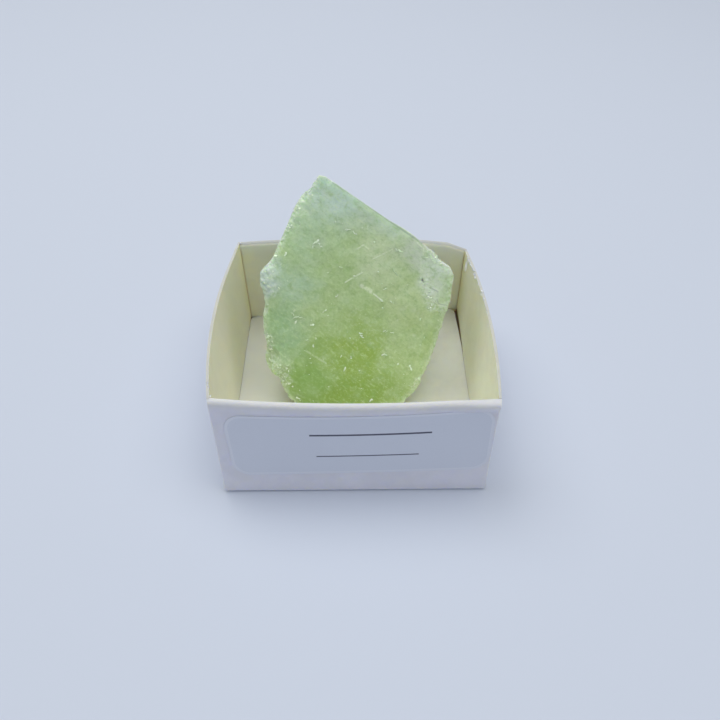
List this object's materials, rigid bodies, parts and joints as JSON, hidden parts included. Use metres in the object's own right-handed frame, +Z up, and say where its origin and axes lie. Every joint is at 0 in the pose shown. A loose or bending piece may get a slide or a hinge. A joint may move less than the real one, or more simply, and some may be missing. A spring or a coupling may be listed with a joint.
{
  "type": "calcite specimen",
  "caption": "Rough piece of cloudy green calcite leaning on the back wall of a small square folded card tray, with a blank paper label on the tray's front.",
  "frame": {"origin": "the middle of the tray's underside, on the surface that the tray stands on", "axes": "+X to the right along the labelled front wall, +Y from the front wall to the back wall, +Z up"},
  "size_m": [0.0435, 0.0403, 0.0359],
  "materials": {
    "card": "matt card, white outside and cream inside",
    "label_paper": "smooth white sticker paper, blank",
    "calcite": "cloudy translucent green with a waxy gloss"
  },
  "bodies": {
    "root": {"card_tray": "card", "label": "label_paper", "calcite": "calcite"}
  },
  "joints": []
}
